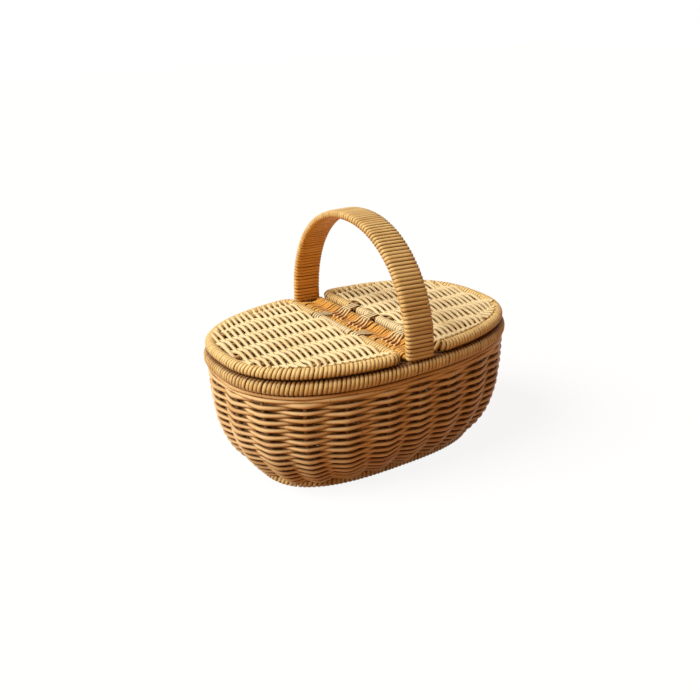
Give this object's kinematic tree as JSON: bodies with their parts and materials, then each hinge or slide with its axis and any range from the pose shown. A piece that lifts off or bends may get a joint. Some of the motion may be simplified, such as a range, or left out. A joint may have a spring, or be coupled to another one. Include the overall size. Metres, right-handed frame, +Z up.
{
  "type": "picnic basket",
  "caption": "Small oval picnic basket woven in round cane, with two half lids hinged on a bridge across the middle and a fixed strap handle.",
  "frame": {"origin": "centre of the foot ring, on the surface that the basket stands on", "axes": "+X along the basket's length, +Y across it along the handle, +Z up"},
  "size_m": [0.23, 0.16, 0.1807],
  "materials": {
    "cane_pale": "satin",
    "cane_honey": "satin",
    "cane_wound": "satin",
    "cane_bridge": "satin",
    "cane_core": "matte"
  },
  "bodies": {
    "basket": {"base_frame": "cane_core", "base_weave": "cane_honey", "foot_wrap": "cane_wound", "wall_weave": "cane_honey", "rim_hoop_outer": "cane_core", "rim_hoop_inner": "cane_core", "rim_wrap": "cane_wound", "handle_wrap": "cane_wound", "handle_rod_1": "cane_core", "handle_rod_2": "cane_core", "handle_rod_3": "cane_core", "handle_rod_4": "cane_core", "handle_rod_5": "cane_core", "handle_rod_6": "cane_core", "bridge_weave": "cane_bridge", "bridge_rail_left": "cane_core", "bridge_rail_right": "cane_core", "hinge_loop_left_1": "cane_pale", "hinge_loop_left_2": "cane_pale", "hinge_loop_right_1": "cane_pale", "hinge_loop_right_2": "cane_pale", "hinge_loop_right_3": "cane_pale", "stake_01": "cane_core", "stake_02": "cane_core", "stake_03": "cane_core", "stake_04": "cane_core", "stake_05": "cane_core", "stake_06": "cane_core", "stake_07": "cane_core", "stake_08": "cane_core", "stake_09": "cane_core", "stake_10": "cane_core", "stake_11": "cane_core", "stake_12": "cane_core", "stake_13": "cane_core", "stake_14": "cane_core", "stake_15": "cane_core", "stake_16": "cane_core", "stake_17": "cane_core", "stake_18": "cane_core", "stake_19": "cane_core", "stake_20": "cane_core", "stake_21": "cane_core", "stake_22": "cane_core"},
    "left_lid": {"left_lid_frame": "cane_core", "left_lid_weave": "cane_pale", "left_lid_rim_wrap": "cane_wound", "left_lid_rail_wrap_1": "cane_pale"},
    "right_lid": {"right_lid_frame": "cane_core", "right_lid_weave": "cane_pale", "right_lid_rim_wrap": "cane_wound", "right_lid_rail_wrap_1": "cane_pale", "right_lid_rail_wrap_2": "cane_pale"}
  },
  "joints": [
    {"name": "left_lid_hinge", "type": "hinge", "parent": "basket", "child": "left_lid", "pos_m": [-0.0166, 0, 0.096], "axis": [0, 1, 0], "range_deg": [0, 90]},
    {"name": "right_lid_hinge", "type": "hinge", "parent": "basket", "child": "right_lid", "pos_m": [0.0166, 0, 0.096], "axis": [0, -1, 0], "range_deg": [0, 90]}
  ]
}
